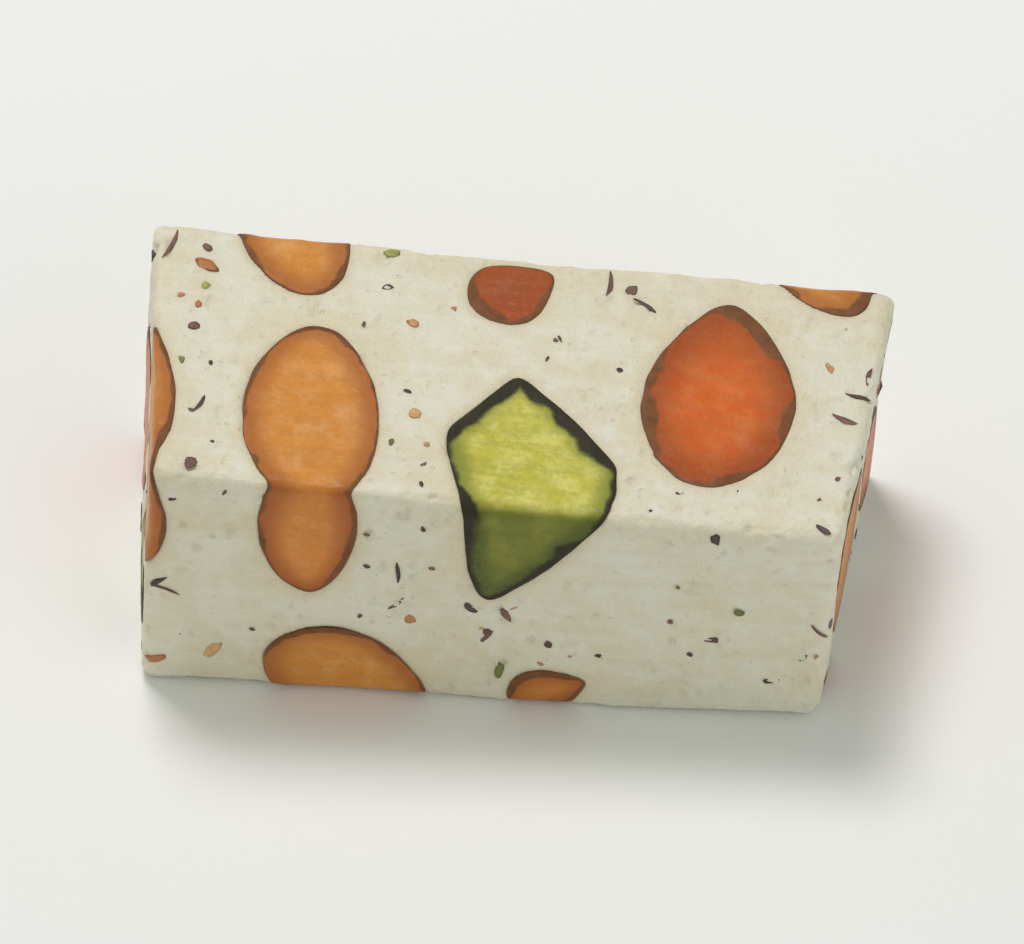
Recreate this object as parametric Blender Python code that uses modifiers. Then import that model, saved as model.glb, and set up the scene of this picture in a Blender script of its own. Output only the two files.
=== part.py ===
"""Nougat bar: one hand-cut bar of white nougat with almonds and pistachios in it.

The bar lies flat. +X runs along its length, +Y towards its back, +Z up, and the origin is
the middle of its footprint, on the surface it lies on. Metres.

Each nut is one kernel that the knife went through, so it ends flush with the faces it
crosses. Pieces had broken off the pistachios before that. The nougat has a pocket of the
same shape for each nut.
"""

import math
from collections import namedtuple

import bmesh
import bpy
from mathutils import Matrix, Vector

# ---- driving dimensions -------------------------------------------------------------------

BAR_LENGTH = 0.0535
BAR_WIDTH = 0.0265
BAR_HEIGHT = 0.0212
RIGHT_END_SKEW = 0.060      # the right end is cut askew: longer at the back by this share
LEFT_END_SKEW = 0.018
RIGHT_END_LEAN = 0.00045    # the right end overhangs its foot by this much each way
TOP_SLOPE = 0.00135         # the top is this much higher at the left end, lower at the right
FRONT_BELLY = 0.00025       # how far the long sides bow out at mid-height
TOP_WAVE = 0.00018          # low waves that the knife leaves in the top
EDGE_ROUND = 0.0010
EDGE_SEGMENTS = 3
EDGE_ANGLE = math.radians(50)
BLOCK_CUTS = 3

POCKET_GAP = 0.0003         # clearance between a nut and its pocket
WHOLE_GRID = (14, 9)        # segments and rings of a whole kernel
CHIPPED_GRID = (18, 11)     # finer, for the corners where pieces broke off
BREAK_BULGE = 0.12          # how much of the skin's own curve is left where a piece broke off

# ---- kernel shapes ------------------------------------------------------------------------

# length, width, thickness; how much it narrows to its tip (straight, curved); lump height
Kernel = namedtuple("Kernel", "size narrowing lumps")

ALMOND_NARROWING = (0.30, 0.26)
PISTACHIO_NARROWING = (0.12, 0.05)
ALMOND_LUMPS = 0.025
PISTACHIO_LUMPS = 0.065


def almond(length, width, thickness):
    """An almond kernel, sizes in millimetres."""
    return Kernel((length, width, thickness), ALMOND_NARROWING, ALMOND_LUMPS)


def pistachio(length, width, thickness):
    """A pistachio kernel, sizes in millimetres."""
    return Kernel((length, width, thickness), PISTACHIO_NARROWING, PISTACHIO_LUMPS)


# ---- the nuts -----------------------------------------------------------------------------

# at: the kernel's middle, from -1 to 1 across the bar's length, width and height, and
# past 1 where the middle was on the part that was cut away.
# tip: the way that its pointed end points. flat: the way that its flat side faces.
# chips: where a piece broke off, the way that the break faces and how far it is from the
# kernel's middle, in millimetres.
Nut = namedtuple("Nut", "name kernel at tip flat phase chips", defaults=((),))

NUTS = (
    # the top and the front
    Nut("almond_front_left", almond(26.0, 15.6, 10.2), (-0.545, -0.58, 0.77),
        (0.03, -0.80, -0.60), (1.0, 0.0, 0.0), 0.3),
    Nut("pistachio_front", pistachio(21.5, 15.2, 14.6), (0.085, -0.66, 0.80),
        (-0.02, -0.82, -0.57), (0.0, -0.57, 0.82), 1.9,
        (((-0.97, -0.22, -0.10), 5.75), ((-0.77, 0.64, 0.0), 7.15), ((0.74, 0.67, 0.0), 5.20),
         ((1.0, 0.0, 0.0), 6.20), ((0.71, -0.31, -0.63), 4.60))),
    Nut("almond_top_right", almond(22.8, 12.4, 9.2), (0.575, 0.095, 0.80),
        (0.08, 0.99, 0.02), (0.05, 0.0, 1.0), 4.1),
    Nut("almond_top_middle", almond(8.4, 7.0, 6.4), (0.000, 0.70, 0.84),
        (0.80, 0.60, 0.10), (0.1, 0.2, 1.0), 2.2),
    Nut("almond_front_foot", almond(12.8, 9.4, 7.6), (-0.410, -1.00, -0.78),
        (0.95, 0.12, -0.28), (0.1, 0.8, 0.6), 5.0),
    Nut("almond_front_bit", almond(6.2, 4.8, 4.2), (0.170, -1.02, -0.84),
        (0.90, 0.10, 0.40), (0.0, 1.0, 0.2), 0.9),
    # the back
    Nut("almond_back_left", almond(20.0, 12.4, 8.6), (-0.600, 0.92, 0.62),
        (0.10, -0.35, -0.90), (1.0, 0.3, 0.1), 3.3),
    Nut("almond_back_right", almond(15.0, 10.0, 8.0), (0.840, 1.00, 0.66),
        (-0.55, 0.20, 0.80), (0.7, 0.6, 0.3), 1.2),
    Nut("pistachio_back", pistachio(16.0, 10.4, 9.8), (0.375, 1.01, 0.15),
        (0.90, 0.05, 0.30), (0.1, 1.0, 0.2), 0.6,
        (((0.80, 0.0, 0.60), 5.70), ((-0.50, 0.0, 0.87), 4.00), ((-0.75, 0.0, -0.66), 5.80))),
    Nut("almond_back_middle", almond(20.0, 11.6, 8.0), (-0.230, 1.02, -0.44),
        (0.78, 0.0, 0.62), (0.1, 1.0, 0.1), 5.7),
    Nut("almond_back_foot", almond(18.0, 11.0, 8.2), (0.600, 1.02, -0.92),
        (0.98, -0.15, 0.05), (0.1, 0.9, 0.4), 2.8),
    # the ends
    Nut("almond_left_edge", almond(22.0, 12.6, 8.0), (-1.045, -0.44, 0.66),
        (0.0, 0.90, 0.44), (1.0, 0.05, 0.0), 1.5),
    Nut("almond_left_end", almond(18.5, 11.6, 8.4), (-1.000, 0.56, -0.34),
        (0.05, 0.40, -0.90), (1.0, 0.1, 0.1), 4.6),
    Nut("pistachio_left_end", pistachio(12.4, 9.2, 8.6), (-0.985, -0.50, -0.47),
        (0.20, -0.72, 0.66), (1.0, 0.2, 0.2), 3.0,
        (((0.0, 0.80, 0.60), 4.00), ((0.0, -0.30, 0.95), 4.20), ((0.0, 0.40, -0.92), 4.10))),
    Nut("almond_right_end", almond(22.0, 12.4, 8.6), (1.030, -0.40, 0.06),
        (0.0, -0.62, 0.78), (1.0, 0.1, 0.0), 0.1),
    Nut("almond_right_foot", almond(11.0, 7.8, 6.6), (1.015, 0.66, -0.46),
        (0.05, 0.45, -0.88), (1.0, 0.2, 0.1), 3.9),
    # the underside
    Nut("almond_under_left", almond(21.0, 12.4, 8.6), (-0.480, 0.08, -0.90),
        (0.80, 0.60, 0.05), (0.1, -0.1, 1.0), 2.5),
    Nut("pistachio_under", pistachio(16.0, 10.4, 9.6), (0.040, -0.02, -0.92),
        (-0.30, 0.95, 0.05), (0.2, 0.1, 1.0), 5.2,
        (((0.95, 0.30, 0.0), 4.30), ((-0.60, 0.80, 0.0), 5.40), ((-0.50, -0.87, 0.0), 5.60))),
    Nut("almond_under_right", almond(20.0, 11.8, 8.4), (0.665, -0.42, -0.94),
        (0.92, -0.38, 0.05), (0.0, 0.2, 1.0), 1.7),
)

# ---- materials ----------------------------------------------------------------------------

NOUGAT_CREAM = (0.83, 0.79, 0.66, 1.0)
ALMOND_TAN = (0.68, 0.28, 0.08, 1.0)
PISTACHIO_GREEN = (0.40, 0.44, 0.08, 1.0)


def make_material(name, colour, roughness):
    """A plain, non-metallic material."""
    material = bpy.data.materials.new(name)
    material.use_nodes = True
    shader = material.node_tree.nodes["Principled BSDF"]
    shader.inputs["Base Color"].default_value = colour
    shader.inputs["Roughness"].default_value = roughness
    shader.inputs["Metallic"].default_value = 0.0
    material.diffuse_color = colour
    return material


# ---- the block ----------------------------------------------------------------------------

def block_point(s, t, r):
    """The point of the bar at shares s, t and r (-1 to 1) of its length, width and height."""
    skew = RIGHT_END_SKEW if s > 0 else LEFT_END_SKEW
    lean = RIGHT_END_LEAN * r if s > 0 else 0.0
    x = s * (BAR_LENGTH / 2 * (1 + skew * t) + lean)
    y = t * (BAR_WIDTH / 2 + FRONT_BELLY * (1 - r * r))
    height = BAR_HEIGHT - TOP_SLOPE * s
    height += TOP_WAVE * math.sin(3.0 * s + 0.8) * math.cos(2.2 * t - 0.4)
    z = (r + 1) / 2 * height
    middle = BAR_LENGTH / 4 * (RIGHT_END_SKEW - LEFT_END_SKEW)
    return Vector((x - middle, y, z))


def block_mesh():
    """The bar without its pockets: a cube cut into a coarse grid and set to the bar's shape."""
    bm = bmesh.new()
    bmesh.ops.create_cube(bm, size=2.0)
    bmesh.ops.subdivide_edges(bm, edges=bm.edges, cuts=BLOCK_CUTS, use_grid_fill=True)
    for vertex in bm.verts:
        vertex.co = block_point(*vertex.co)
    mesh = bpy.data.meshes.new("block")
    bm.to_mesh(mesh)
    bm.free()
    return mesh


def round_edges(obj):
    """Rounds the bar's twelve edges as the knife and handling do."""
    bevel = obj.modifiers.new("rounded edges", "BEVEL")
    bevel.width = EDGE_ROUND
    bevel.segments = EDGE_SEGMENTS
    bevel.limit_method = "ANGLE"
    bevel.angle_limit = EDGE_ANGLE


# ---- the kernels --------------------------------------------------------------------------

def lump(direction, height, phase):
    """How far out a kernel's skin is in this direction, against a smooth kernel."""
    waves = math.sin(3.1 * direction.x + phase) * math.cos(2.7 * direction.y + 1.3 * phase)
    waves += math.sin(3.7 * direction.z + 2.1 * phase)
    return 1 + height * waves


def kernel_point(direction, kernel, phase):
    """The point of a kernel's skin in this direction; +X is its tip, Z its flat side."""
    unit = direction * lump(direction, kernel.lumps, phase)
    straight, curved = kernel.narrowing
    narrow = 1 - straight * unit.x - curved * unit.x ** 2
    length, width, thickness = (0.001 * size / 2 for size in kernel.size)
    return Vector((length * unit.x, width * narrow * unit.y, thickness * narrow * unit.z))


def nut_axes(nut):
    """The matrix that turns a kernel the way it lies in the bar."""
    tip = Vector(nut.tip).normalized()
    side = Vector(nut.flat).cross(tip).normalized()
    flat = tip.cross(side)
    return Matrix((tip, side, flat)).transposed()


def break_off(point, chips):
    """A point of the skin, measured from the kernel's middle, drawn in to the breaks."""
    share = 1.0
    for facing, distance in chips:
        reach = point.dot(Vector(facing).normalized())
        limit = 0.001 * distance
        if reach > limit:
            share = min(share, (limit + BREAK_BULGE * (reach - limit)) / reach)
    return point * share


def kernel_mesh(nut, grow=0.0):
    """A kernel, grown outwards by grow, with its points placed in the bar."""
    segments, rings = CHIPPED_GRID if nut.chips else WHOLE_GRID
    bm = bmesh.new()
    bmesh.ops.create_uvsphere(bm, u_segments=segments, v_segments=rings, radius=1.0)
    bmesh.ops.rotate(bm, verts=bm.verts, matrix=Matrix.Rotation(math.pi / 2, 3, "Y"))
    axes = nut_axes(nut)
    middle = block_point(*nut.at)
    for vertex in bm.verts:
        direction = vertex.co.normalized()
        point = axes @ kernel_point(direction, nut.kernel, nut.phase)
        vertex.co = middle + break_off(point, nut.chips)
    bmesh.ops.triangulate(bm, faces=bm.faces)
    bm.normal_update()
    for vertex in bm.verts:
        vertex.co += vertex.normal * (grow * vertex.calc_shell_factor())
    mesh = bpy.data.meshes.new(nut.name)
    bm.to_mesh(mesh)
    bm.free()
    mesh.shade_smooth()
    return mesh


# ---- the build ----------------------------------------------------------------------------

def add_object(name, mesh, collection, material=None):
    """A new object in this collection."""
    obj = bpy.data.objects.new(name, mesh)
    if material:
        mesh.materials.append(material)
    collection.objects.link(obj)
    return obj


def make_cutter(obj):
    """Marks an object as a cutter, which isn't part of the bar."""
    obj.hide_render = True
    obj.display_type = "WIRE"


def add_boolean(obj, operation, cutter=None, cutters=None):
    """Cuts obj with one cutter or with a collection of them."""
    cut = obj.modifiers.new(operation.lower(), "BOOLEAN")
    cut.operation = operation
    cut.solver = "EXACT"
    if cutters:
        cut.operand_type = "COLLECTION"
        cut.collection = cutters
    else:
        cut.object = cutter


def new_collection(name, parent):
    """A new collection under this one."""
    collection = bpy.data.collections.new(name)
    parent.children.link(collection)
    return collection


def build():
    """Makes the nougat, its pockets and the nuts."""
    for obj in list(bpy.data.objects):
        bpy.data.objects.remove(obj, do_unlink=True)
    scene_root = bpy.context.scene.collection
    bar = new_collection("nougat_bar", scene_root)
    cutters = new_collection("cutters", scene_root)
    pockets = new_collection("pockets", cutters)

    cream = make_material("nougat", NOUGAT_CREAM, 0.55)
    tan = make_material("almond", ALMOND_TAN, 0.45)
    green = make_material("pistachio", PISTACHIO_GREEN, 0.45)

    whole = add_object("whole_block", block_mesh(), cutters)
    round_edges(whole)
    make_cutter(whole)

    for nut in NUTS:
        pocket = add_object("pocket_" + nut.name, kernel_mesh(nut, POCKET_GAP), pockets)
        make_cutter(pocket)
        material = green if nut.name.startswith("pistachio") else tan
        kernel = add_object(nut.name, kernel_mesh(nut), bar, material)
        add_boolean(kernel, "INTERSECT", cutter=whole)

    nougat = add_object("nougat", block_mesh(), bar, cream)
    round_edges(nougat)
    add_boolean(nougat, "DIFFERENCE", cutters=pockets)


build()
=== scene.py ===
import math
from collections import namedtuple

import bmesh
import bpy
import numpy as np
from mathutils import Matrix, Vector


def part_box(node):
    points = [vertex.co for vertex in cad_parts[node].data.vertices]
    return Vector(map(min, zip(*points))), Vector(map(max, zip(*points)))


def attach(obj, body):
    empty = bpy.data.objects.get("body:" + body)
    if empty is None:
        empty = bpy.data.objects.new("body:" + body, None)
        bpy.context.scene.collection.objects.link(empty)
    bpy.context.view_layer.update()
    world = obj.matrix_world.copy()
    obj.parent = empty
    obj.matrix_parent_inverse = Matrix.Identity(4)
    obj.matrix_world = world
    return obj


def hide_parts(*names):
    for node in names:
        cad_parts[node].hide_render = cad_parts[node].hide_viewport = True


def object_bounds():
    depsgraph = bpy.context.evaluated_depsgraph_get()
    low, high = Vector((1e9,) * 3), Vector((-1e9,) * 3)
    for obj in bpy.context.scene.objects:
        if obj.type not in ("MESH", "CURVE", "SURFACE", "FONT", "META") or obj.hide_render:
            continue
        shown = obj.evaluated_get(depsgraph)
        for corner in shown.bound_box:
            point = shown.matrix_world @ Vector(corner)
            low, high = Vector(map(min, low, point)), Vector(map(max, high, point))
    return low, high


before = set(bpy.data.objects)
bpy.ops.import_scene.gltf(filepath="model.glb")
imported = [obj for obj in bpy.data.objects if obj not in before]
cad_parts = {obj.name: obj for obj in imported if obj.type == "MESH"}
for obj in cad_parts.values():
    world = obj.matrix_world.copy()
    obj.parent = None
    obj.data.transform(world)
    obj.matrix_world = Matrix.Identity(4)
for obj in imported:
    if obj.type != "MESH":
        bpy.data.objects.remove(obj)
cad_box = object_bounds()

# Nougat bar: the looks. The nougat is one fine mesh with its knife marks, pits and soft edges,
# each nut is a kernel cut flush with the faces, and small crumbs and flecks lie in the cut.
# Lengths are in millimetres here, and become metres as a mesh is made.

MM = 0.001
LOWEST, HIGHEST = np.array([list(corner) for corner in cad_box]) / MM + [[0.01], [-0.01]]
LOWEST[2] = 0.0

# ---- the bar, as the solids have it -------------------------------------------------------

BAR_LENGTH = 53.5
BAR_WIDTH = 26.5
BAR_HEIGHT = 21.2
RIGHT_END_SKEW = 0.060
LEFT_END_SKEW = 0.018
RIGHT_END_LEAN = 0.45
TOP_SLOPE = 1.35
FRONT_BELLY = 0.25
TOP_WAVE = 0.18
EDGE_ROUND = 1.0

HALF = np.array([BAR_LENGTH, BAR_WIDTH, BAR_HEIGHT]) / 2
MIDDLE_X = BAR_LENGTH / 4 * (RIGHT_END_SKEW - LEFT_END_SKEW)


def top_height(s, t):
    """The bar's height at shares s and t of its length and width."""
    return BAR_HEIGHT - TOP_SLOPE * s + TOP_WAVE * np.sin(3.0 * s + 0.8) * np.cos(2.2 * t - 0.4)


def warp(points):
    """Points of a straight box, centred on the origin, moved to the bar's own uneven shape."""
    s, t, r = (points / HALF).T
    skew = np.where(s > 0, RIGHT_END_SKEW, LEFT_END_SKEW)
    lean = np.where(s > 0, RIGHT_END_LEAN, 0.0)
    x = s * (BAR_LENGTH / 2 * (1 + skew * t) + lean * r) - MIDDLE_X
    y = t * (BAR_WIDTH / 2 + FRONT_BELLY * (1 - r * r))
    z = (r + 1) / 2 * top_height(s, t)
    return np.stack([x, y, z], axis=1)


def unwarp(points):
    """The reverse of warp."""
    x, y, z = points.T
    x = x + MIDDLE_X
    skew = np.where(x > 0, RIGHT_END_SKEW, LEFT_END_SKEW)
    lean = np.where(x > 0, RIGHT_END_LEAN, 0.0)
    s = x / (BAR_LENGTH / 2)
    t = y / (BAR_WIDTH / 2)
    r = 2 * z / BAR_HEIGHT - 1
    for _ in range(4):
        t = y / (BAR_WIDTH / 2 + FRONT_BELLY * (1 - r * r))
        s = x / (BAR_LENGTH / 2 * (1 + skew * t) + lean * r)
        r = 2 * z / top_height(s, t) - 1
    return np.stack([s, t, r], axis=1) * HALF


# ---- noise --------------------------------------------------------------------------------

def lattice(cell, seed):
    """A fixed number from -1 to 1 for each whole-number cell."""
    mask = 0xFFFFFFFF
    mixed = cell[:, 0] * 73856093 ^ cell[:, 1] * 19349663 ^ cell[:, 2] * 83492791
    mixed = (mixed ^ (seed * 40503 + 977)) & mask
    mixed = ((mixed ^ (mixed >> 15)) * 739982445) & mask
    mixed = ((mixed ^ (mixed >> 12)) * 695872825) & mask
    mixed = mixed ^ (mixed >> 15)
    return mixed / (mask / 2) - 1


def noise(points, size, seed):
    """Smooth noise from about -1 to 1 with lumps of this size: a number, or one for each axis."""
    scaled = points / np.asarray(size, float)
    low = np.floor(scaled).astype(np.int64)
    part = scaled - low
    part = part * part * (3 - 2 * part)
    total = np.zeros(len(points))
    for corner in np.ndindex(2, 2, 2):
        weight = np.prod(np.where(corner, part, 1 - part), axis=1)
        total += weight * lattice(low + corner, seed)
    return total


def layered(points, size, seed, layers=3):
    """Noise with finer and finer layers on it."""
    size = np.asarray(size, float)
    return sum(noise(points, size / 2 ** n, seed + n) / 1.8 ** n for n in range(layers))


def smoothstep(low, high, value):
    """0 below low, 1 above high, and smooth between."""
    share = np.clip((value - low) / (high - low), 0, 1)
    return share * share * (3 - 2 * share)


# ---- the bar's surface --------------------------------------------------------------------

def edge_radius(box_points):
    """How far the bar's edges are rounded: uneven along each edge."""
    return EDGE_ROUND * (1.05 + 0.45 * noise(box_points, 5.0, 3)[:, None])


def inner_point(box_points):
    """The nearest point of the core that is one edge radius inside the straight box."""
    core = HALF - edge_radius(box_points)
    return np.clip(box_points, -core, core)


def outward(points):
    """Unit vectors out of the bar, at points of its surface or near it."""
    box_points = unwarp(points)
    away = box_points - inner_point(box_points)
    size = np.linalg.norm(away, axis=1, keepdims=True)
    nearest = np.argmax(np.abs(box_points) - HALF, axis=1)
    flat = np.zeros_like(away)
    rows = np.arange(len(points))
    flat[rows, nearest] = np.sign(box_points[rows, nearest])
    return np.where(size > 0.02, away / np.maximum(size, 0.02), flat)


def outside_bar(points):
    """Distance out of the bar, in millimetres, below zero inside."""
    box_points = unwarp(points)
    radius = edge_radius(box_points)
    past = np.abs(box_points) - (HALF - radius)
    far = np.linalg.norm(np.maximum(past, 0), axis=1)
    return far + np.minimum(past.max(axis=1), 0) - radius[:, 0]


def sway(points):
    """The low, slow unevenness that nougat and nuts share: the knife never cuts quite flat."""
    return 0.15 * noise(points, (15.0, 11.0, 11.0), 11) - 0.15


# ---- the nuts -----------------------------------------------------------------------------

ALMOND_NARROWING = (0.30, 0.26)
PISTACHIO_NARROWING = (0.12, 0.05)
ALMOND_LUMPS = 0.025
PISTACHIO_LUMPS = 0.065
BREAK_BULGE = 0.12
CORNER_POWER = 16       # the higher, the sharper the corners where pieces broke off

# size: length, width and thickness. at: the kernel's middle, from -1 to 1 across the bar's
# length, width and height. tip: the way its pointed end points. flat: the way its flat side
# faces. tone: from 0, pale tan or yellow, to 1, deep orange or green. chips: where a piece
# broke off, the way the break faces and its distance from the kernel's middle.
Nut = namedtuple("Nut", "name size at tip flat phase tone chips", defaults=((),))

NUTS = (
    Nut("almond_front_left", (26.0, 15.6, 10.2), (-0.545, -0.58, 0.77),
        (0.03, -0.80, -0.60), (1.0, 0.0, 0.0), 0.3, 0.30),
    Nut("pistachio_front", (21.5, 15.2, 14.6), (0.085, -0.66, 0.80),
        (-0.02, -0.82, -0.57), (0.0, -0.57, 0.82), 1.9, 0.10,
        (((-0.97, -0.22, -0.10), 5.75), ((-0.77, 0.64, 0.0), 7.15), ((0.74, 0.67, 0.0), 5.20),
         ((1.0, 0.0, 0.0), 6.20), ((0.71, -0.31, -0.63), 4.60))),
    Nut("almond_top_right", (22.8, 12.4, 9.2), (0.575, 0.095, 0.80),
        (0.08, 0.99, 0.02), (0.05, 0.0, 1.0), 4.1, 0.80),
    Nut("almond_top_middle", (8.4, 7.0, 6.4), (0.000, 0.70, 0.84),
        (0.80, 0.60, 0.10), (0.1, 0.2, 1.0), 2.2, 1.00),
    Nut("almond_front_foot", (12.8, 9.4, 7.6), (-0.410, -1.00, -0.78),
        (0.95, 0.12, -0.28), (0.1, 0.8, 0.6), 5.0, 0.05),
    Nut("almond_front_bit", (6.2, 4.8, 4.2), (0.170, -1.02, -0.84),
        (0.90, 0.10, 0.40), (0.0, 1.0, 0.2), 0.9, 0.25),
    Nut("almond_back_left", (20.0, 12.4, 8.6), (-0.600, 0.92, 0.62),
        (0.10, -0.35, -0.90), (1.0, 0.3, 0.1), 3.3, 0.30),
    Nut("almond_back_right", (15.0, 10.0, 8.0), (0.840, 1.00, 0.66),
        (-0.55, 0.20, 0.80), (0.7, 0.6, 0.3), 1.2, 0.20),
    Nut("pistachio_back", (16.0, 10.4, 9.8), (0.375, 1.01, 0.15),
        (0.90, 0.05, 0.30), (0.1, 1.0, 0.2), 0.6, 0.20,
        (((0.80, 0.0, 0.60), 5.70), ((-0.50, 0.0, 0.87), 4.00), ((-0.75, 0.0, -0.66), 5.80))),
    Nut("almond_back_middle", (20.0, 11.6, 8.0), (-0.230, 1.02, -0.44),
        (0.78, 0.0, 0.62), (0.1, 1.0, 0.1), 5.7, 0.55),
    Nut("almond_back_foot", (18.0, 11.0, 8.2), (0.600, 1.02, -0.92),
        (0.98, -0.15, 0.05), (0.1, 0.9, 0.4), 2.8, 0.15),
    Nut("almond_left_edge", (22.0, 12.6, 8.0), (-1.045, -0.44, 0.66),
        (0.0, 0.90, 0.44), (1.0, 0.05, 0.0), 1.5, 0.20),
    Nut("almond_left_end", (18.5, 11.6, 8.4), (-1.000, 0.56, -0.34),
        (0.05, 0.40, -0.90), (1.0, 0.1, 0.1), 4.6, 0.60),
    Nut("pistachio_left_end", (12.4, 9.2, 8.6), (-0.985, -0.50, -0.47),
        (0.20, -0.72, 0.66), (1.0, 0.2, 0.2), 3.0, 0.35,
        (((0.0, 0.80, 0.60), 4.00), ((0.0, -0.30, 0.95), 4.20), ((0.0, 0.40, -0.92), 4.10))),
    Nut("almond_right_end", (22.0, 12.4, 8.6), (1.030, -0.40, 0.06),
        (0.0, -0.62, 0.78), (1.0, 0.1, 0.0), 0.1, 0.40),
    Nut("almond_right_foot", (11.0, 7.8, 6.6), (1.015, 0.66, -0.46),
        (0.05, 0.45, -0.88), (1.0, 0.2, 0.1), 3.9, 0.70),
    Nut("almond_under_left", (21.0, 12.4, 8.6), (-0.480, 0.08, -0.90),
        (0.80, 0.60, 0.05), (0.1, -0.1, 1.0), 2.5, 0.25),
    Nut("pistachio_under", (16.0, 10.4, 9.6), (0.040, -0.02, -0.92),
        (-0.30, 0.95, 0.05), (0.2, 0.1, 1.0), 5.2, 0.25,
        (((0.95, 0.30, 0.0), 4.30), ((-0.60, 0.80, 0.0), 5.40), ((-0.50, -0.87, 0.0), 5.60))),
    Nut("almond_under_right", (20.0, 11.8, 8.4), (0.665, -0.42, -0.94),
        (0.92, -0.38, 0.05), (0.0, 0.2, 1.0), 1.7, 0.65),
)


def is_pistachio(nut):
    """Whether this nut is a pistachio."""
    return nut.name.startswith("pistachio")


def unit(vector):
    """The vector at length 1."""
    vector = np.asarray(vector, float)
    return vector / np.linalg.norm(vector)


def nut_middle(nut):
    """The kernel's middle in the bar."""
    return warp(np.array([nut.at]) * HALF)[0]


def nut_axes(nut):
    """The kernel's own X, Y and Z in the bar, as rows."""
    tip = unit(nut.tip)
    side = unit(np.cross(unit(nut.flat), tip))
    return np.array([tip, side, np.cross(tip, side)])


def kernel_reach(nut, points):
    """How far out in the kernel each point is: 0 at its middle, 1 at its skin."""
    straight, curved = PISTACHIO_NARROWING if is_pistachio(nut) else ALMOND_NARROWING
    height = PISTACHIO_LUMPS if is_pistachio(nut) else ALMOND_LUMPS
    ahead = points - nut_middle(nut)
    own = ahead @ nut_axes(nut).T / (np.array(nut.size) / 2)
    narrow = np.maximum(1 - straight * own[:, 0] - curved * own[:, 0] ** 2, 0.2)
    own[:, 1:] /= narrow[:, None]
    reach = np.linalg.norm(own, axis=1)
    x, y, z = (own / np.maximum(reach, 1e-6)[:, None]).T
    waves = np.sin(3.1 * x + nut.phase) * np.cos(2.7 * y + 1.3 * nut.phase)
    waves += np.sin(3.7 * z + 2.1 * nut.phase)
    whole = reach / (1 + height * waves)
    if nut.chips:
        total = whole ** CORNER_POWER
        for facing, distance in nut.chips:
            broken = ahead @ unit(facing) * (1 - BREAK_BULGE / np.maximum(whole, 0.2))
            broken = np.maximum(broken / (distance * (1 - BREAK_BULGE)), 0)
            total += np.minimum(broken, 3.0) ** CORNER_POWER
        whole = total ** (1 / CORNER_POWER)
    return whole * (1 + 0.012 * noise(points, 1.3, 91) + 0.010 * noise(points, 3.1, 92))


def skin_depth(nut, points):
    """Roughly how deep in the kernel each point is, in millimetres, below zero outside."""
    step = 0.05
    reach = kernel_reach(nut, points)
    slope = np.zeros(len(points))
    for axis in np.eye(3):
        slope += ((kernel_reach(nut, points + step * axis) - reach) / step) ** 2
    return (1 - reach) / np.sqrt(np.maximum(slope, 1e-6))


# ---- meshes -------------------------------------------------------------------------------

def new_piece(name, points, faces, materials, face_material=None, attributes=None):
    """A mesh object from points in millimetres."""
    mesh = bpy.data.meshes.new(name)
    points = np.clip(points, LOWEST, HIGHEST)
    mesh.from_pydata((points * MM).tolist(), [], faces)
    for material in materials:
        mesh.materials.append(material)
    if face_material is not None:
        mesh.polygons.foreach_set("material_index", face_material)
    for label, values in (attributes or {}).items():
        layer = mesh.attributes.new(label, "FLOAT", "POINT")
        layer.data.foreach_set("value", values.astype(np.float32))
    mesh.validate()
    mesh.shade_smooth()
    obj = bpy.data.objects.new(name, mesh)
    bpy.context.scene.collection.objects.link(obj)
    return obj


def shell_grid(counts):
    """The points (as whole numbers) and faces of a box's surface cut into counts cells."""
    sides = []
    for axis in range(3):
        first, second = (axis + 1) % 3, (axis + 2) % 3
        i, j = np.meshgrid(np.arange(counts[first]), np.arange(counts[second]), indexing="ij")
        for end in (0, counts[axis]):
            loop = [(0, 0), (1, 0), (1, 1), (0, 1)]
            if end == 0:
                loop.reverse()
            corners = np.zeros((i.size, 4, 3), np.int64)
            corners[:, :, axis] = end
            for place, (a, b) in enumerate(loop):
                corners[:, place, first] = i.ravel() + a
                corners[:, place, second] = j.ravel() + b
            sides.append(corners)
    corners = np.concatenate(sides)
    flat = corners.reshape(-1, 3)
    code = (flat[:, 0] * 4096 + flat[:, 1]) * 4096 + flat[:, 2]
    _, first_use, number = np.unique(code, return_index=True, return_inverse=True)
    return flat[first_use], number.reshape(-1, 4)


# ---- the nougat ---------------------------------------------------------------------------

GRID_STEP = 0.27
NUT_SINK = 0.9          # how far the nougat drops away under a nut's cut face


def nut_depths(points):
    """The depth of each point in the nearest nut, in millimetres, below zero outside."""
    deepest = np.full(len(points), -9.0)
    for nut in NUTS:
        reach = nut.size[0] / 2 + 4
        near = np.linalg.norm(points - nut_middle(nut), axis=1) < reach
        if near.any():
            deepest[near] = np.maximum(deepest[near], skin_depth(nut, points[near]))
    return deepest


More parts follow.
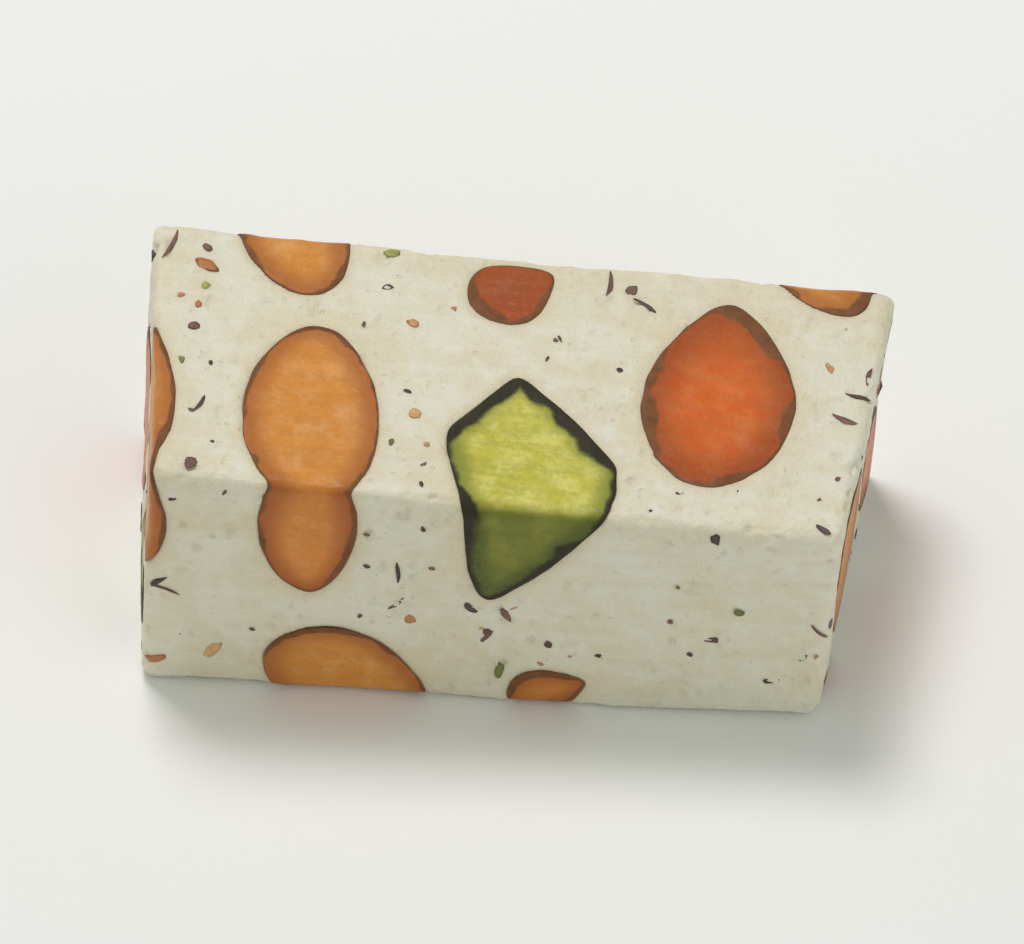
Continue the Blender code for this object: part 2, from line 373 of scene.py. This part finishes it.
def nougat_relief(points, box_points, depths):
    """How far the nougat stands out of the plain cut, in millimetres."""
    past = np.sort(np.abs(box_points) - HALF, axis=1)
    edge = smoothstep(-2.4, -0.2, past[:, 1])
    relief = 0.055 * layered(points, 3.4, 21)
    relief += 0.030 * noise(points, (10.0, 0.9, 0.9), 31)
    relief += 0.016 * noise(points, (5.0, 0.5, 0.5), 32)
    relief -= 0.20 * edge * np.maximum(layered(points, 2.4, 41), 0)
    relief -= 0.26 * smoothstep(0.50, 0.95, layered(points, 1.15, 51, 2))
    relief -= 0.10 * smoothstep(0.45, 0.8, noise(points, 0.75, 55))
    relief *= 1 - 0.7 * np.exp(-(depths / 0.5) ** 2)
    relief += (0.03 + 0.08 * noise(points, 1.9, 61)) * np.exp(-((depths + 0.65) / 0.5) ** 2)
    groove = 0.09 + 0.07 * noise(points, 2.6, 63)
    relief -= groove * np.exp(-(depths / 0.30) ** 2)
    return relief - NUT_SINK * smoothstep(0.10, 0.50, depths)


def make_nougat(material):
    """The nougat, with soft edges, knife marks, pits and a socket under each nut."""
    counts = np.round(2 * HALF / GRID_STEP).astype(int)
    cells, faces = shell_grid(counts)
    sharp = cells / counts * 2 * HALF - HALF
    core = inner_point(sharp)
    away = sharp - core
    away /= np.linalg.norm(away, axis=1, keepdims=True)
    box_points = core + away * edge_radius(sharp)
    points = warp(box_points)
    depths = nut_depths(points)
    relief = sway(points) + nougat_relief(points, box_points, depths)
    relief = np.where(away[:, 2] < -0.9, np.minimum(relief, 0.0) * 0.4, relief)
    points = points + away * relief[:, None]
    near_nut = np.exp(-(np.maximum(-depths, 0) / 0.9) ** 2)
    return new_piece("nougat_body", points, faces.tolist(), [material],
                     attributes={"near_nut": near_nut})


# ---- the cut nuts -------------------------------------------------------------------------

SPOKES = 168
FACE_RINGS = 36
SKIN_RINGS = 9
NUT_PROUD = 0.045


def ray_end(test, start, directions, limit=34.0):
    """How far along each direction from start the test first turns positive."""
    low = np.zeros(len(directions))
    high = np.full(len(directions), limit)
    for _ in range(20):
        middle = (low + high) / 2
        out = test(start + directions * middle[:, None]) > 0
        high = np.where(out, middle, high)
        low = np.where(out, low, middle)
    return (low + high) / 2


def cone(axis, side, other, angles, turns):
    """Unit vectors at these angles from the axis, turned round it."""
    across = np.outer(np.cos(turns), side) + np.outer(np.sin(turns), other)
    return np.cos(angles)[:, None] * axis + np.sin(angles)[:, None] * across


def even_directions(number):
    """Unit vectors spread evenly over the sphere."""
    step = np.arange(number) + 0.5
    z = 1 - 2 * step / number
    turn = step * math.pi * (3 - math.sqrt(5))
    flat = np.sqrt(1 - z * z)
    return np.stack([flat * np.cos(turn), flat * np.sin(turn), z], axis=1)


def widest_view(all_ways, cut):
    """Of the directions in the cut, the one with the most of the cut in a straight line of
    sight, so that no ring of points has to go round a notch at the bar's edge."""
    inside = all_ways[cut]
    middle = unit(inside.mean(axis=0))
    nearest_first = inside[np.argsort(-(inside @ middle))]
    tries = nearest_first[::max(1, len(inside) // 40)]
    ends = inside[::max(1, len(inside) // 150)]
    best = middle
    most = -1.0
    for way in (middle, *tries):
        seen = np.ones(len(ends), bool)
        for share in (0.3, 0.5, 0.7, 0.85):
            between = way * (1 - share) + ends * share
            seen &= cut[np.argmax(between @ all_ways.T, axis=1)]
        if seen.mean() > most + 0.004:
            most = seen.mean()
            best = way
    return best


def view_point(nut):
    """A point inside both the kernel and the bar, and the way from it to the cut."""
    middle = nut_middle(nut)[None, :]
    start = middle.copy()
    for _ in range(60):
        if outside_bar(start)[0] < -1.3:
            break
        start -= 0.1 * outward(start)
    all_ways = even_directions(3000)
    to_bar = ray_end(outside_bar, start, all_ways)
    to_skin = ray_end(lambda p: kernel_reach(nut, p) - 1, start, all_ways)
    cut = to_bar < to_skin
    if not cut.any():
        raise ValueError(nut.name + " doesn't reach the bar's surface")
    return start, widest_view(all_ways, cut)


def make_nut(nut, flesh, skin):
    """One kernel, cut flush: rings of points on the cut, then on the skin inside the nougat."""
    start, axis = view_point(nut)
    side = unit(np.cross(axis, (0.31, 0.52, 0.79)))
    other = np.cross(axis, side)
    turns = np.arange(SPOKES) / SPOKES * 2 * math.pi

    def on_skin(directions):
        return ray_end(lambda p: kernel_reach(nut, p) - 1, start, directions)

    low = np.zeros(SPOKES)
    high = np.full(SPOKES, math.pi)
    for _ in range(16):
        middle = (low + high) / 2
        rays = cone(axis, side, other, middle, turns)
        buried = ray_end(outside_bar, start, rays) > on_skin(rays)
        high = np.where(buried, middle, high)
        low = np.where(buried, low, middle)
    rim = (low + high) / 2

    face_share = 1 - (1 - np.arange(1, FACE_RINGS + 1) / FACE_RINGS) ** 1.5
    skin_share = (np.arange(1, SKIN_RINGS + 1) / (SKIN_RINGS + 1)) ** 1.3
    face_angles = np.outer(face_share, rim).ravel()
    skin_angles = (rim + np.outer(skin_share, math.pi - rim)).ravel()
    face_rays = cone(axis, side, other, face_angles, np.tile(turns, FACE_RINGS))
    skin_rays = cone(axis, side, other, skin_angles, np.tile(turns, SKIN_RINGS))
    face_rays = np.vstack([face_rays, axis])
    skin_rays = np.vstack([skin_rays, -axis])
    face = start + face_rays * ray_end(outside_bar, start, face_rays)[:, None]
    inner = start + skin_rays * on_skin(skin_rays)[:, None]
    points = np.vstack([face[:-1], inner[:-1], face[-1:], inner[-1:]])
    lift = np.zeros(len(points))
    lift[:len(face) - 1] = 1
    lift[-2] = 1

    depth = skin_depth(nut, points)
    out = outward(points)
    wear = 0.045 * layered(points, 2.4, 71) + 0.020 * layered(points, 0.7, 72, 2)
    hollow = -0.10 * smoothstep(0.5, 3.0, depth)
    soft_rim = -0.03 * np.exp(-(np.maximum(depth, 0) / 0.08) ** 2)
    raised = sway(points) + NUT_PROUD + wear * smoothstep(0, 0.6, depth) + hollow + soft_rim
    raised = np.where(out[:, 2] < -0.9, np.minimum(raised, 0.0), raised)
    points = points + out * (lift * raised)[:, None]

    faces = []
    total = FACE_RINGS + SKIN_RINGS
    for ring in range(total - 1):
        for spoke in range(SPOKES):
            following = (spoke + 1) % SPOKES
            here = ring * SPOKES
            there = here + SPOKES
            faces.append((here + spoke, there + spoke, there + following, here + following))
    material = [0 if n // SPOKES < FACE_RINGS - 1 else 1 for n in range(len(faces))]
    for spoke in range(SPOKES):
        following = (spoke + 1) % SPOKES
        faces.append((total * SPOKES, spoke, following))
        last = (total - 1) * SPOKES
        faces.append((total * SPOKES + 1, last + following, last + spoke))
        material += [0, 1]

    # Painted shade: cut faces that face the front are given a deeper tone than the rest of the
    # nut, darker by how much they face the front, to stand for the shade on the bar's front. The
    # tone attribute holds the nut's own tone plus this painted shade.
    front_painted_shade = smoothstep(0.45, 0.95, -out[:, 1])
    front_shade_strength = 0.95 if is_pistachio(nut) else 0.25
    attributes = {
        "depth": depth,
        "tone": nut.tone + front_shade_strength * front_painted_shade * (1 - nut.tone),
    }
    piece = new_piece(nut.name + "_cut", points, faces, [flesh, skin], material, attributes)
    bm = bmesh.new()
    bm.from_mesh(piece.data)
    bmesh.ops.recalc_face_normals(bm, faces=bm.faces)
    bm.to_mesh(piece.data)
    bm.free()
    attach(piece, "root")
    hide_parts(nut.name)
    return piece


# ---- crumbs and flecks --------------------------------------------------------------------

FACE_AXES = ((2, 1), (2, -1), (1, 1), (1, -1), (0, 1), (0, -1))


def chip(size, draw):
    """A small angular crumb of about this length, width and thickness."""
    bm = bmesh.new()
    bmesh.ops.create_icosphere(bm, subdivisions=2, radius=1.0)
    points = np.array([v.co[:] for v in bm.verts])
    faces = [tuple(v.index for v in face.verts) for face in bm.faces]
    bm.free()
    points *= 1 + 0.25 * noise(points + draw.uniform(0, 90), 0.8, 81)[:, None]
    for _ in range(5):
        facing = unit(draw.normal(size=3) * (1.0, 1.0, 0.4))
        ahead = points @ facing
        points -= np.outer(np.maximum(ahead - draw.uniform(0.45, 0.8), 0), facing)
    points *= np.array(size) / 2
    points[:, 1] += draw.choice((-1, 1)) * 0.10 * points[:, 0] ** 2
    return points, faces


def crowding(spots, axis, sign):
    """How readily a crumb lies at each spot, from 0 to 1: they lie in drifts, and few are on
    the right half of the front."""
    share = 0.25 + 0.75 * smoothstep(-0.3, 0.4, noise(spots, 8.0, 83))
    sparse = (axis, sign) == (1, -1)
    return np.where(sparse & (spots[:, 0] > 8), 0.3 * share, share)


def free_spots(number, size, axis, sign, draw):
    """Places for crumbs on one face, clear of the nuts."""
    places = draw.uniform(-1, 1, (8 * number, 3)) * (HALF - 0.8)
    places[:, axis] = sign * HALF[axis]
    spots = warp(places)
    keep = draw.uniform(size=len(spots)) < crowding(spots, axis, sign)
    keep &= nut_depths(spots) < -0.4 - size / 2
    return spots[keep][:number]


def scatter(name, kinds, seed, material):
    """Crumbs set flush in the faces. kinds: length, width, thickness, and how many on each
    face."""
    draw = np.random.default_rng(seed)
    all_points = []
    all_faces = []
    tones = []
    count = 0
    for *size, per_face in kinds:
        for (axis, sign), number in zip(FACE_AXES, per_face):
            for spot in free_spots(number, size[0], axis, sign, draw)[:, None]:
                out = outward(spot)[0]
                along = unit(np.cross(out, draw.normal(size=3)))
                points, faces = chip(np.array(size) * draw.uniform(0.7, 1.3, 3), draw)
                world = spot + points @ np.array([along, np.cross(out, along), out])
                flush = 0.04 + 0.03 * noise(world, 0.5, 82) + sway(world)
                over = np.maximum(outside_bar(world) - flush, 0)
                world -= outward(world) * over[:, None]
                all_points.append(world)
                all_faces += [tuple(corner + count for corner in face) for face in faces]
                tones.append(np.full(len(world), draw.uniform(0, 1)))
                count += len(world)
    piece = new_piece(name, np.concatenate(all_points), all_faces, [material],
                      attributes={"tone": np.concatenate(tones)})
    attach(piece, "root")
    return piece


# ---- materials ----------------------------------------------------------------------------

class Nodes:
    """Short ways to add nodes to one material."""

    def __init__(self, name):
        self.material = bpy.data.materials.new(name)
        self.material.use_nodes = True
        self.tree = self.material.node_tree
        self.shader = self.tree.nodes["Principled BSDF"]
        place = self.tree.nodes.new("ShaderNodeTexCoord")
        self.place = place.outputs["Object"]

    def link(self, source, target):
        self.tree.links.new(source, target)

    def set(self, **values):
        for label, value in values.items():
            self.shader.inputs[label.replace("_", " ")].default_value = value

    def attribute(self, name):
        node = self.tree.nodes.new("ShaderNodeAttribute")
        node.attribute_name = name
        return node.outputs["Fac"]

    def math(self, operation, *values):
        node = self.tree.nodes.new("ShaderNodeMath")
        node.operation = operation
        for socket, value in zip(node.inputs, values):
            if isinstance(value, (int, float)):
                socket.default_value = value
            else:
                self.link(value, socket)
        return node.outputs[0]

    def stretch(self, scale):
        node = self.tree.nodes.new("ShaderNodeMapping")
        node.inputs["Scale"].default_value = scale
        self.link(self.place, node.inputs["Vector"])
        return node.outputs["Vector"]

    def noise(self, scale, detail=3.0, stretch=(1, 1, 1), roughness=0.55):
        node = self.tree.nodes.new("ShaderNodeTexNoise")
        node.inputs["Scale"].default_value = scale
        node.inputs["Detail"].default_value = detail
        node.inputs["Roughness"].default_value = roughness
        self.link(self.stretch(stretch), node.inputs["Vector"])
        return node.outputs["Fac"]

    def cells(self, scale):
        node = self.tree.nodes.new("ShaderNodeTexVoronoi")
        node.inputs["Scale"].default_value = scale
        self.link(self.place, node.inputs["Vector"])
        return node.outputs["Distance"]

    def ramp(self, value, low, high, first=0.0, last=1.0):
        node = self.tree.nodes.new("ShaderNodeMapRange")
        node.interpolation_type = "SMOOTHSTEP"
        for label, number in (("From Min", low), ("From Max", high),
                              ("To Min", first), ("To Max", last)):
            node.inputs[label].default_value = number
        self.link(value, node.inputs["Value"])
        return node.outputs["Result"]

    def mix(self, share, first, second, blend="MIX"):
        node = self.tree.nodes.new("ShaderNodeMix")
        node.data_type = "RGBA"
        node.blend_type = blend
        for socket, value in ((node.inputs[0], share), (node.inputs[6], first),
                              (node.inputs[7], second)):
            if isinstance(value, (int, float)):
                socket.default_value = value
            elif isinstance(value, tuple):
                socket.default_value = (*value, 1.0)
            else:
                self.link(value, socket)
        return node.outputs[2]

    def bump(self, height, distance, strength=1.0, before=None):
        node = self.tree.nodes.new("ShaderNodeBump")
        node.inputs["Distance"].default_value = distance
        node.inputs["Strength"].default_value = strength
        self.link(height, node.inputs["Height"])
        if before:
            self.link(before, node.inputs["Normal"])
        return node.outputs["Normal"]


def nougat_material():
    """Whipped sugar and egg white: cream, satin, faintly see-through."""
    n = Nodes("nougat")
    streaks = n.noise(800, 2.0, (0.06, 1.0, 1.0))
    colour = n.mix(n.ramp(n.noise(150, 3.0), 0.35, 0.65), (0.79, 0.725, 0.53), (0.83, 0.79, 0.64))
    colour = n.mix(n.ramp(n.noise(600, 3.0), 0.45, 0.75, 0.0, 0.5), colour, (0.87, 0.85, 0.75))
    colour = n.mix(n.ramp(streaks, 0.45, 0.75, 0.0, 0.35), colour, (0.88, 0.86, 0.76))
    warm = n.ramp(n.attribute("near_nut"), 0.15, 1.0, 0.0, 0.5)
    colour = n.mix(warm, colour, (0.79, 0.66, 0.44))
    dust = n.ramp(n.cells(620), 0.05, 0.10, 0.55, 0.0)
    dust = n.math("MULTIPLY", dust, n.ramp(n.noise(300, 1.0), 0.56, 0.64))
    colour = n.mix(dust, colour, (0.38, 0.20, 0.11))
    n.link(colour, n.shader.inputs["Base Color"])
    n.link(n.ramp(n.noise(420, 2.0), 0.3, 0.7, 0.36, 0.56), n.shader.inputs["Roughness"])
    n.set(Subsurface_Weight=0.30, Subsurface_Radius=(1.0, 0.75, 0.5), Subsurface_Scale=0.0015,
          IOR=1.46)
    fine = n.math("ADD", n.noise(2600, 4.0, (1, 1, 1), 0.65), n.math("MULTIPLY", streaks, 0.9))
    fine = n.math("ADD", fine, n.noise(1000, 2.0))
    normal = n.bump(fine, 0.00015, 0.9)
    bubbles = n.math("MAXIMUM", n.ramp(n.cells(1100), 0.10, 0.26),
                     n.ramp(n.noise(500, 1.0), 0.62, 0.50))
    normal = n.bump(bubbles, 0.00012, 0.7, normal)
    n.link(normal, n.shader.inputs["Normal"])
    return n.material


def almond_flesh():
    """A roasted almond cut through: tan flesh, deeper to the rim, and a thin brown skin."""
    n = Nodes("almond_flesh")
    depth = n.attribute("depth")
    tone = n.attribute("tone")
    wobble = n.math("MULTIPLY", n.math("SUBTRACT", n.noise(520, 4.0), 0.5), 0.55)
    seen = n.math("ADD", depth, wobble)
    # The tone attribute is the almond's own tone plus painted shade on its front-facing cut, so
    # the deeper colours picked by it also paint that shade.
    core = n.mix(n.ramp(tone, 0.0, 0.4), (0.80, 0.38, 0.085), (0.74, 0.28, 0.045))
    core = n.mix(n.ramp(tone, 0.4, 0.8), core, (0.74, 0.135, 0.018))
    core = n.mix(n.ramp(tone, 0.8, 1.0), core, (0.36, 0.075, 0.030))
    outer = n.mix(n.ramp(tone, 0.0, 0.8), (0.52, 0.19, 0.040), (0.40, 0.075, 0.014))
    pale = n.mix(n.ramp(tone, 0.0, 0.8), (0.85, 0.50, 0.19), (0.80, 0.24, 0.050))
    pale = n.mix(n.ramp(tone, 0.8, 1.0), pale, (0.44, 0.14, 0.075))
    mottle = n.noise(480, 5.0, (1, 1, 1), 0.62)
    core = n.mix(n.ramp(mottle, 0.42, 0.70, 0.0, 0.7), core, pale)
    colour = n.mix(n.ramp(seen, 0.25, 2.6), outer, core)
    scratches = n.noise(1300, 2.0, (0.07, 1.0, 1.0))
    fibre = n.math("ADD", n.noise(2600, 2.0), scratches)
    colour = n.mix(n.ramp(fibre, 0.75, 1.30, 0.0, 0.28), colour, (0.42, 0.17, 0.045))
    edge = n.math("SUBTRACT", seen, n.ramp(n.noise(210, 2.0), 0.36, 0.64, -0.10, 0.34))
    thicker = n.math("MULTIPLY", tone, n.ramp(n.noise(120, 1.0), 0.44, 0.60, 0.0, 0.42))
    edge = n.math("SUBTRACT", edge, thicker)
    skin = n.ramp(edge, 0.0, 0.22, 1.0, 0.0)
    brown = n.mix(n.noise(900, 2.0), (0.12, 0.042, 0.014), (0.30, 0.12, 0.040))
    colour = n.mix(skin, colour, brown)
    n.link(colour, n.shader.inputs["Base Color"])
    rough = n.math("ADD", n.ramp(mottle, 0.3, 0.7, 0.30, 0.50), n.math("MULTIPLY", skin, 0.2))
    n.link(rough, n.shader.inputs["Roughness"])
    n.set(Subsurface_Weight=0.12, Subsurface_Radius=(1.0, 0.5, 0.25), Subsurface_Scale=0.0012,
          IOR=1.47, Specular_IOR_Level=0.3)
    grain = n.math("ADD", n.noise(1400, 4.0), n.math("MULTIPLY", skin, 0.15))
    grain = n.math("ADD", grain, n.math("MULTIPLY", scratches, 0.4))
    n.link(n.bump(grain, 0.00010, 0.9), n.shader.inputs["Normal"])
    return n.material


def almond_skin():
    """The brown, finely wrinkled skin of an almond."""
    n = Nodes("almond_skin")
    wrinkles = n.noise(900, 3.0, (0.2, 1.0, 1.0))
    n.link(n.mix(wrinkles, (0.10, 0.035, 0.011), (0.26, 0.10, 0.032)),
           n.shader.inputs["Base Color"])
    n.set(Roughness=0.6)
    n.link(n.bump(wrinkles, 0.0001, 0.7), n.shader.inputs["Normal"])
    return n.material


def pistachio_flesh():
    """A pistachio cut through: yellow-green flesh and a dark, uneven, wine-black skin."""
    n = Nodes("pistachio_flesh")
    depth = n.attribute("depth")
    tone = n.attribute("tone")
    wobble = n.math("MULTIPLY", n.math("SUBTRACT", n.noise(420, 4.0), 0.5), 1.2)
    seen = n.math("ADD", depth, wobble)
    # The tone attribute is the pistachio's own tone plus painted shade on its front-facing cut;
    # the dark olive end is mostly that painted shade.
    core = n.mix(tone, (0.66, 0.60, 0.085), (0.16, 0.175, 0.020))
    mottle = n.noise(430, 5.0, (1, 1, 1), 0.64)
    bright = n.mix(tone, (0.88, 0.80, 0.24), (0.26, 0.27, 0.040))
    core = n.mix(n.ramp(mottle, 0.40, 0.68, 0.0, 0.8), core, bright)
    outer = n.mix(tone, (0.32, 0.34, 0.045), (0.065, 0.085, 0.014))
    colour = n.mix(n.ramp(seen, 0.5, 2.6), outer, core)
    scratches = n.noise(1300, 2.0, (0.07, 1.0, 1.0))
    fibre = n.math("ADD", n.noise(2600, 2.0), scratches)
    colour = n.mix(n.ramp(fibre, 0.75, 1.30, 0.0, 0.30), colour, (0.20, 0.24, 0.04))
    edge = n.math("SUBTRACT", seen, n.ramp(n.noise(170, 2.0), 0.36, 0.64, 0.05, 1.0))
    skin = n.ramp(edge, 0.0, 0.55, 1.0, 0.0)
    dark = n.mix(n.noise(600, 2.0), (0.014, 0.018, 0.006), (0.060, 0.042, 0.024))
    colour = n.mix(skin, colour, dark)
    n.link(colour, n.shader.inputs["Base Color"])
    rough = n.math("ADD", n.ramp(mottle, 0.3, 0.7, 0.30, 0.50), n.math("MULTIPLY", skin, 0.25))
    n.link(rough, n.shader.inputs["Roughness"])
    n.set(Subsurface_Weight=0.12, Subsurface_Radius=(0.7, 1.0, 0.25), Subsurface_Scale=0.0012,
          IOR=1.47, Specular_IOR_Level=0.3)
    grain = n.math("ADD", n.noise(1200, 4.0), n.math("MULTIPLY", skin, 0.15))
    grain = n.math("ADD", grain, n.math("MULTIPLY", scratches, 0.4))
    n.link(n.bump(grain, 0.00011, 0.9), n.shader.inputs["Normal"])
    return n.material


def pistachio_skin():
    """The wrinkled, wine-dark skin of a pistachio."""
    n = Nodes("pistachio_skin")
    wrinkles = n.noise(700, 3.0)
    n.link(n.mix(wrinkles, (0.020, 0.018, 0.008), (0.09, 0.045, 0.035)),
           n.shader.inputs["Base Color"])
    n.set(Roughness=0.55)
    n.link(n.bump(wrinkles, 0.00012, 0.8), n.shader.inputs["Normal"])
    return n.material


def chip_material(name, pale, deep, roughness):
    """Small chips: each has its own place between two colours."""
    n = Nodes(name)
    colour = n.mix(n.attribute("tone"), pale, deep)
    mottle = n.noise(1500, 3.0)
    colour = n.mix(n.ramp(mottle, 0.35, 0.75, 0.0, 0.5), colour, deep)
    n.link(colour, n.shader.inputs["Base Color"])
    n.set(Roughness=roughness)
    n.link(n.bump(mottle, 0.00006, 0.6), n.shader.inputs["Normal"])
    return n.material


def floor_material():
    """A plain pale table."""
    n = Nodes("floor")
    n.set(Base_Color=(0.97, 0.97, 0.965, 1.0), Roughness=0.75)
    return n.material


# ---- light, floor and camera --------------------------------------------------------------

CAMERA_DISTANCE = 2.0
CAMERA_ELEVATION = math.radians(46)
CAMERA_AZIMUTH = math.radians(-0.6)
CAMERA_ROLL = math.radians(3.9)
VIEW_WIDTH = 0.0765


def add_area_light(name, place, target, size, energy, colour):
    """A square soft light aimed at a point."""
    light = bpy.data.lights.new(name, "AREA")
    light.size = size
    light.energy = energy
    light.color = colour
    obj = bpy.data.objects.new(name, light)
    obj.location = place
    obj.rotation_euler = (Vector(target) - Vector(place)).to_track_quat("-Z", "Y").to_euler()
    bpy.context.scene.collection.objects.link(obj)


def make_stage():
    """The floor, the lights and the sky."""
    bpy.ops.mesh.primitive_plane_add(size=3.0, location=(0, 0, -0.00005))
    floor = bpy.context.object
    floor.name = "floor"
    floor.data.materials.append(floor_material())
    world = bpy.data.worlds.new("sky")
    bpy.context.scene.world = world
    world.use_nodes = True
    sky = world.node_tree.nodes["Background"]
    sky.inputs["Color"].default_value = (0.955, 1.0, 0.93, 1.0)
    sky.inputs["Strength"].default_value = 0.40
    add_area_light("key", (-0.14, 0.20, 0.62), (0, 0, 0.01), 0.22, 2.1, (1.0, 0.965, 0.965))
    add_area_light("fill", (0.35, -0.45, 0.35), (0, 0, 0.01), 0.40, 0.45, (0.96, 1.0, 0.93))


def make_camera():
    """The camera, above the front of the bar and a little tipped."""
    low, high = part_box("nougat")
    middle = (low + high) / 2
    away = Vector((math.sin(CAMERA_AZIMUTH) * math.cos(CAMERA_ELEVATION),
                   -math.cos(CAMERA_AZIMUTH) * math.cos(CAMERA_ELEVATION),
                   math.sin(CAMERA_ELEVATION)))
    data = bpy.data.cameras.new("camera")
    data.sensor_width = 36.0
    data.lens = data.sensor_width * CAMERA_DISTANCE / VIEW_WIDTH
    data.clip_end = 20.0
    camera = bpy.data.objects.new("camera", data)
    camera.location = middle + away * CAMERA_DISTANCE
    look = (-away).to_track_quat("-Z", "Y").to_matrix().to_4x4()
    roll = Matrix.Rotation(CAMERA_ROLL, 4, "Z")
    camera.rotation_euler = (look @ roll).to_euler()
    bpy.context.scene.collection.objects.link(camera)
    bpy.context.scene.camera = camera


# ---- the scene ----------------------------------------------------------------------------

bpy.context.scene.view_settings.view_transform = "Standard"
nougat = make_nougat(nougat_material())
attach(nougat, "root")
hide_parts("nougat")

looks = {False: (almond_flesh(), almond_skin()), True: (pistachio_flesh(), pistachio_skin())}
for nut in NUTS:
    make_nut(nut, *looks[is_pistachio(nut)])

scatter("skin_flecks",
        ((3.6, 0.45, 0.6, (4, 3, 2, 3, 1, 1)), (2.0, 0.5, 0.6, (4, 3, 3, 4, 2, 2)),
         (1.2, 0.9, 0.7, (7, 5, 4, 6, 3, 3)), (0.6, 0.45, 0.4, (17, 12, 8, 13, 6, 6))), 5,
        chip_material("skin_fleck", (0.24, 0.115, 0.085), (0.055, 0.032, 0.030), 0.5))
scatter("almond_crumbs",
        ((2.2, 1.2, 1.1, (2, 2, 1, 2, 1, 1)), (1.2, 0.9, 0.8, (3, 2, 2, 2, 1, 1)),
         (0.6, 0.5, 0.5, (5, 4, 3, 4, 2, 2))), 6,
        chip_material("almond_crumb", (0.76, 0.45, 0.20), (0.46, 0.17, 0.05), 0.45))
scatter("pistachio_crumbs",
        ((1.6, 1.0, 0.9, (1, 1, 1, 1, 0, 1)), (0.8, 0.6, 0.6, (3, 2, 2, 2, 1, 1))), 8,
        chip_material("pistachio_crumb", (0.46, 0.46, 0.11), (0.10, 0.12, 0.03), 0.45))

make_stage()
make_camera()
